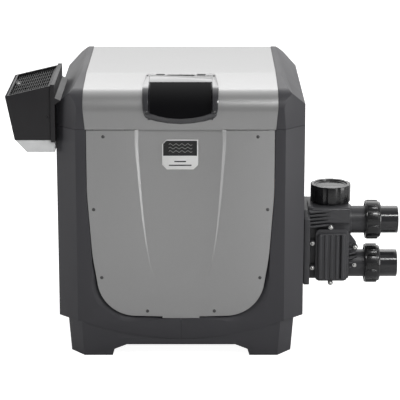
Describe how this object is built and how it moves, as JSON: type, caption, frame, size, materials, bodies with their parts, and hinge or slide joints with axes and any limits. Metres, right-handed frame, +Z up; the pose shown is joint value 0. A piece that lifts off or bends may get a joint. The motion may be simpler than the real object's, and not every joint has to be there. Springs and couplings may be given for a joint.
{
  "type": "gas pool and spa heater",
  "caption": "Outdoor pool and spa heater with a curved lid, flip-up control door, tapered access panel, side exhaust vent and side water header with unions.",
  "frame": {"origin": "centre of the whole heater's footprint box on the floor, vent and water unions included", "axes": "+X from the exhaust vent to the water unions along the heater's longest side, -Y out of the front access panel, +Z up from the floor"},
  "size_m": [1.024, 0.626, 0.7203],
  "materials": {
    "charcoal_plastic": "fine moulded texture, satin",
    "silver_sheet": "metallic silver paint, satin",
    "black_gloss": "polished dark window",
    "dark_bezel": "polished dark grey",
    "black_sheet": "powder coat, satin",
    "bare_steel": "bare sheet and wire",
    "pipe_plastic": "extruded pipe, semi gloss",
    "black_plastic": "moulded, semi gloss",
    "rubber": "matt",
    "copper": "copper alloy, dull",
    "cast_metal": "cast, dull",
    "label_film": "blank printed plate",
    "circuit_green": "coated board",
    "ceramic": "unglazed",
    "display_glass": "clear lens over a dim display"
  },
  "bodies": {
    "heater": {"base_tray": "charcoal_plastic", "left_shell": "charcoal_plastic", "right_shell": "charcoal_plastic", "rear_panel": "charcoal_plastic", "left_top_cap": "charcoal_plastic", "right_top_cap": "charcoal_plastic", "header_body": "charcoal_plastic", "header_cover": "charcoal_plastic", "front_panel": "silver_sheet", "top_panel": "silver_sheet", "control_bezel": "dark_bezel", "vent_flange": "black_sheet", "vent_hood": "black_sheet", "vent_grille": "black_sheet", "blower_motor": "black_sheet", "gas_pipe": "black_sheet", "transformer": "black_sheet", "door_hinge_pin_left": "bare_steel", "door_hinge_pin_right": "bare_steel", "vent_deflector": "bare_steel", "bypass_spring": "bare_steel", "exhaust_duct": "bare_steel", "gas_supply_tube": "bare_steel", "panel_screw_1": "bare_steel", "panel_screw_2": "bare_steel", "panel_screw_3": "bare_steel", "panel_screw_4": "bare_steel", "panel_screw_5": "bare_steel", "panel_screw_6": "bare_steel", "panel_screw_7": "bare_steel", "panel_screw_8": "bare_steel", "upper_tailpiece": "pipe_plastic", "lower_tailpiece": "pipe_plastic", "control_panel": "black_plastic", "pressure_switch": "black_plastic", "header_gasket": "rubber", "upper_union_seal": "rubber", "lower_union_seal": "rubber", "heat_exchanger": "copper", "floor_pan": "cast_metal", "combustion_chamber": "cast_metal", "chamber_lid": "cast_metal", "burner": "cast_metal", "blower_housing": "cast_metal", "gas_valve": "cast_metal", "front_badge": "label_film", "control_board": "circuit_green", "igniter": "ceramic", "flame_sensor": "ceramic", "display_lens": "display_glass"},
    "door": {"control_door": "black_gloss"},
    "upper_nut": {"upper_union_nut": "black_plastic"},
    "lower_nut": {"lower_union_nut": "black_plastic"},
    "valve_cap": {"bypass_cap": "black_plastic"},
    "valve_poppet": {"bypass_poppet": "pipe_plastic"},
    "fan": {"blower_impeller": "cast_metal"},
    "button_1": {"control_button_1": "rubber"},
    "button_2": {"control_button_2": "rubber"},
    "button_3": {"control_button_3": "rubber"},
    "button_4": {"control_button_4": "rubber"}
  },
  "joints": [
    {"name": "door_hinge", "type": "hinge", "parent": "heater", "child": "door", "pos_m": [-0.065, -0.1545, 0.71722], "axis": [-1, 0, 0], "range_deg": [0, 105]},
    {"name": "upper_nut_turn", "type": "hinge", "parent": "heater", "child": "upper_nut", "pos_m": [0.445, -0.122, 0.3195], "axis": [1, 0, 0], "continuous": true},
    {"name": "lower_nut_turn", "type": "hinge", "parent": "heater", "child": "lower_nut", "pos_m": [0.445, -0.122, 0.198], "axis": [1, 0, 0], "continuous": true},
    {"name": "valve_cap_turn", "type": "hinge", "parent": "heater", "child": "valve_cap", "pos_m": [0.333, -0.107, 0.39], "axis": [0, 0, 1], "continuous": true},
    {"name": "valve_lift", "type": "slide", "parent": "heater", "child": "valve_poppet", "axis": [0, 0, 1], "range_m": [0, 0.012], "stiffness_N_per_m": 400, "springref_m": -0.01, "deforming": ["bypass_spring"]},
    {"name": "fan_spin", "type": "hinge", "parent": "heater", "child": "fan", "pos_m": [-0.125, -0.017, 0.46], "axis": [0, 0, 1], "continuous": true},
    {"name": "button_1_press", "type": "slide", "parent": "heater", "child": "button_1", "axis": [0, 0.6143, -0.7891], "range_m": [0, 0.0012], "stiffness_N_per_m": 300},
    {"name": "button_2_press", "type": "slide", "parent": "heater", "child": "button_2", "axis": [0, 0.6143, -0.7891], "range_m": [0, 0.0012], "stiffness_N_per_m": 300},
    {"name": "button_3_press", "type": "slide", "parent": "heater", "child": "button_3", "axis": [0, 0.6143, -0.7891], "range_m": [0, 0.0012], "stiffness_N_per_m": 300},
    {"name": "button_4_press", "type": "slide", "parent": "heater", "child": "button_4", "axis": [0, 0.6143, -0.7891], "range_m": [0, 0.0012], "stiffness_N_per_m": 300}
  ]
}
